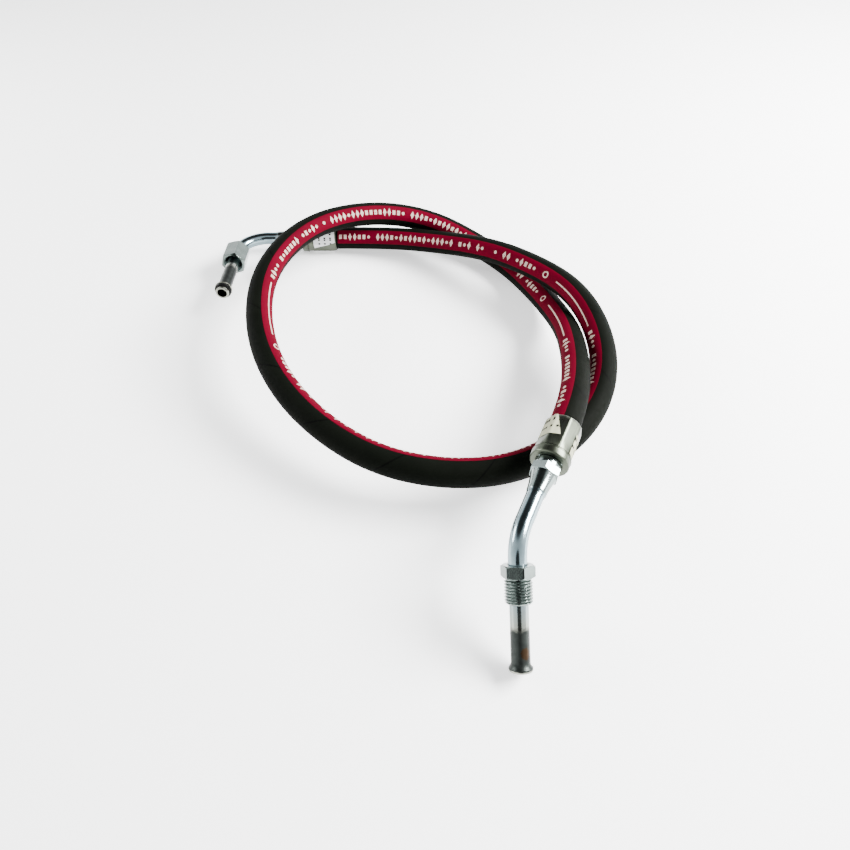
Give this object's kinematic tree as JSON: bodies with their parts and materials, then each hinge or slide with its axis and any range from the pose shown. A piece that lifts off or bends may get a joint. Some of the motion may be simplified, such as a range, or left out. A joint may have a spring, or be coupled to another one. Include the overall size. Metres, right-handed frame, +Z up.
{
  "type": "hydraulic hose assembly",
  "caption": "Coiled braided hydraulic hose with a crimped 45 degree flared tube and male nut on one end and a 90 degree O-ring tube with a female nut on the other.",
  "frame": {"origin": "on the resting floor, under the middle of the coiled assembly's box", "axes": "+Z up from the floor, +Y away from the flared near end towards the far end's side of the coil, +X to the right as seen from the near end"},
  "size_m": [0.2853, 0.3702, 0.0553],
  "materials": {
    "inner_rubber": "smooth matte nitrile",
    "braid_wire": "brass-tinted high tensile wire",
    "cover_rubber": "matte, cloth-wrapped impression",
    "layline_film": "thin printed film",
    "plated_ferrule": "dull greenish zinc",
    "plated_insert": "zinc, machined",
    "near_label_paper": "cream paper",
    "far_label_paper": "white paper",
    "braze_metal": "dull braze fillet",
    "plated_tube": "bright bluish zinc",
    "plated_nut": "zinc, machined",
    "seal_rubber": "smooth"
  },
  "bodies": {
    "hose": {"hose_liner": "inner_rubber", "wire_braid": "braid_wire", "hose_cover": "cover_rubber", "layline_tape": "layline_film"},
    "near_end": {"near_insert": "plated_insert", "near_ferrule": "plated_ferrule", "near_label": "near_label_paper", "near_braze_ring": "braze_metal", "near_tube": "plated_tube"},
    "near_nut": {"near_nut": "plated_nut"},
    "far_end": {"far_insert": "plated_insert", "far_ferrule": "plated_ferrule", "far_label": "far_label_paper", "far_braze_ring": "braze_metal", "far_tube": "plated_tube", "far_o_ring": "seal_rubber"},
    "far_nut": {"far_nut": "plated_nut"}
  },
  "joints": [
    {"name": "near_end_flex", "type": "hinge", "parent": "hose", "child": "near_end", "pos_m": [0.12147, -0.00752, 0.04452], "axis": [0, 0, 1], "range_deg": [-12, 12], "deforming": ["hose_liner", "wire_braid", "hose_cover", "layline_tape"]},
    {"name": "near_nut_slide", "type": "slide", "parent": "near_end", "child": "near_nut", "axis": [0.0168, -0.787, -0.6167], "range_m": [0, 0.025]},
    {"name": "far_end_flex", "type": "hinge", "parent": "hose", "child": "far_end", "pos_m": [0.00492, 0.17039, 0.01008], "axis": [0, 0, 1], "range_deg": [-12, 12], "deforming": ["hose_liner", "wire_braid", "hose_cover", "layline_tape"]},
    {"name": "far_nut_spin", "type": "hinge", "parent": "far_end", "child": "far_nut", "pos_m": [-0.13334, 0.14297, 0.01383], "axis": [0.0009, -0.9972, 0.075], "continuous": true}
  ]
}
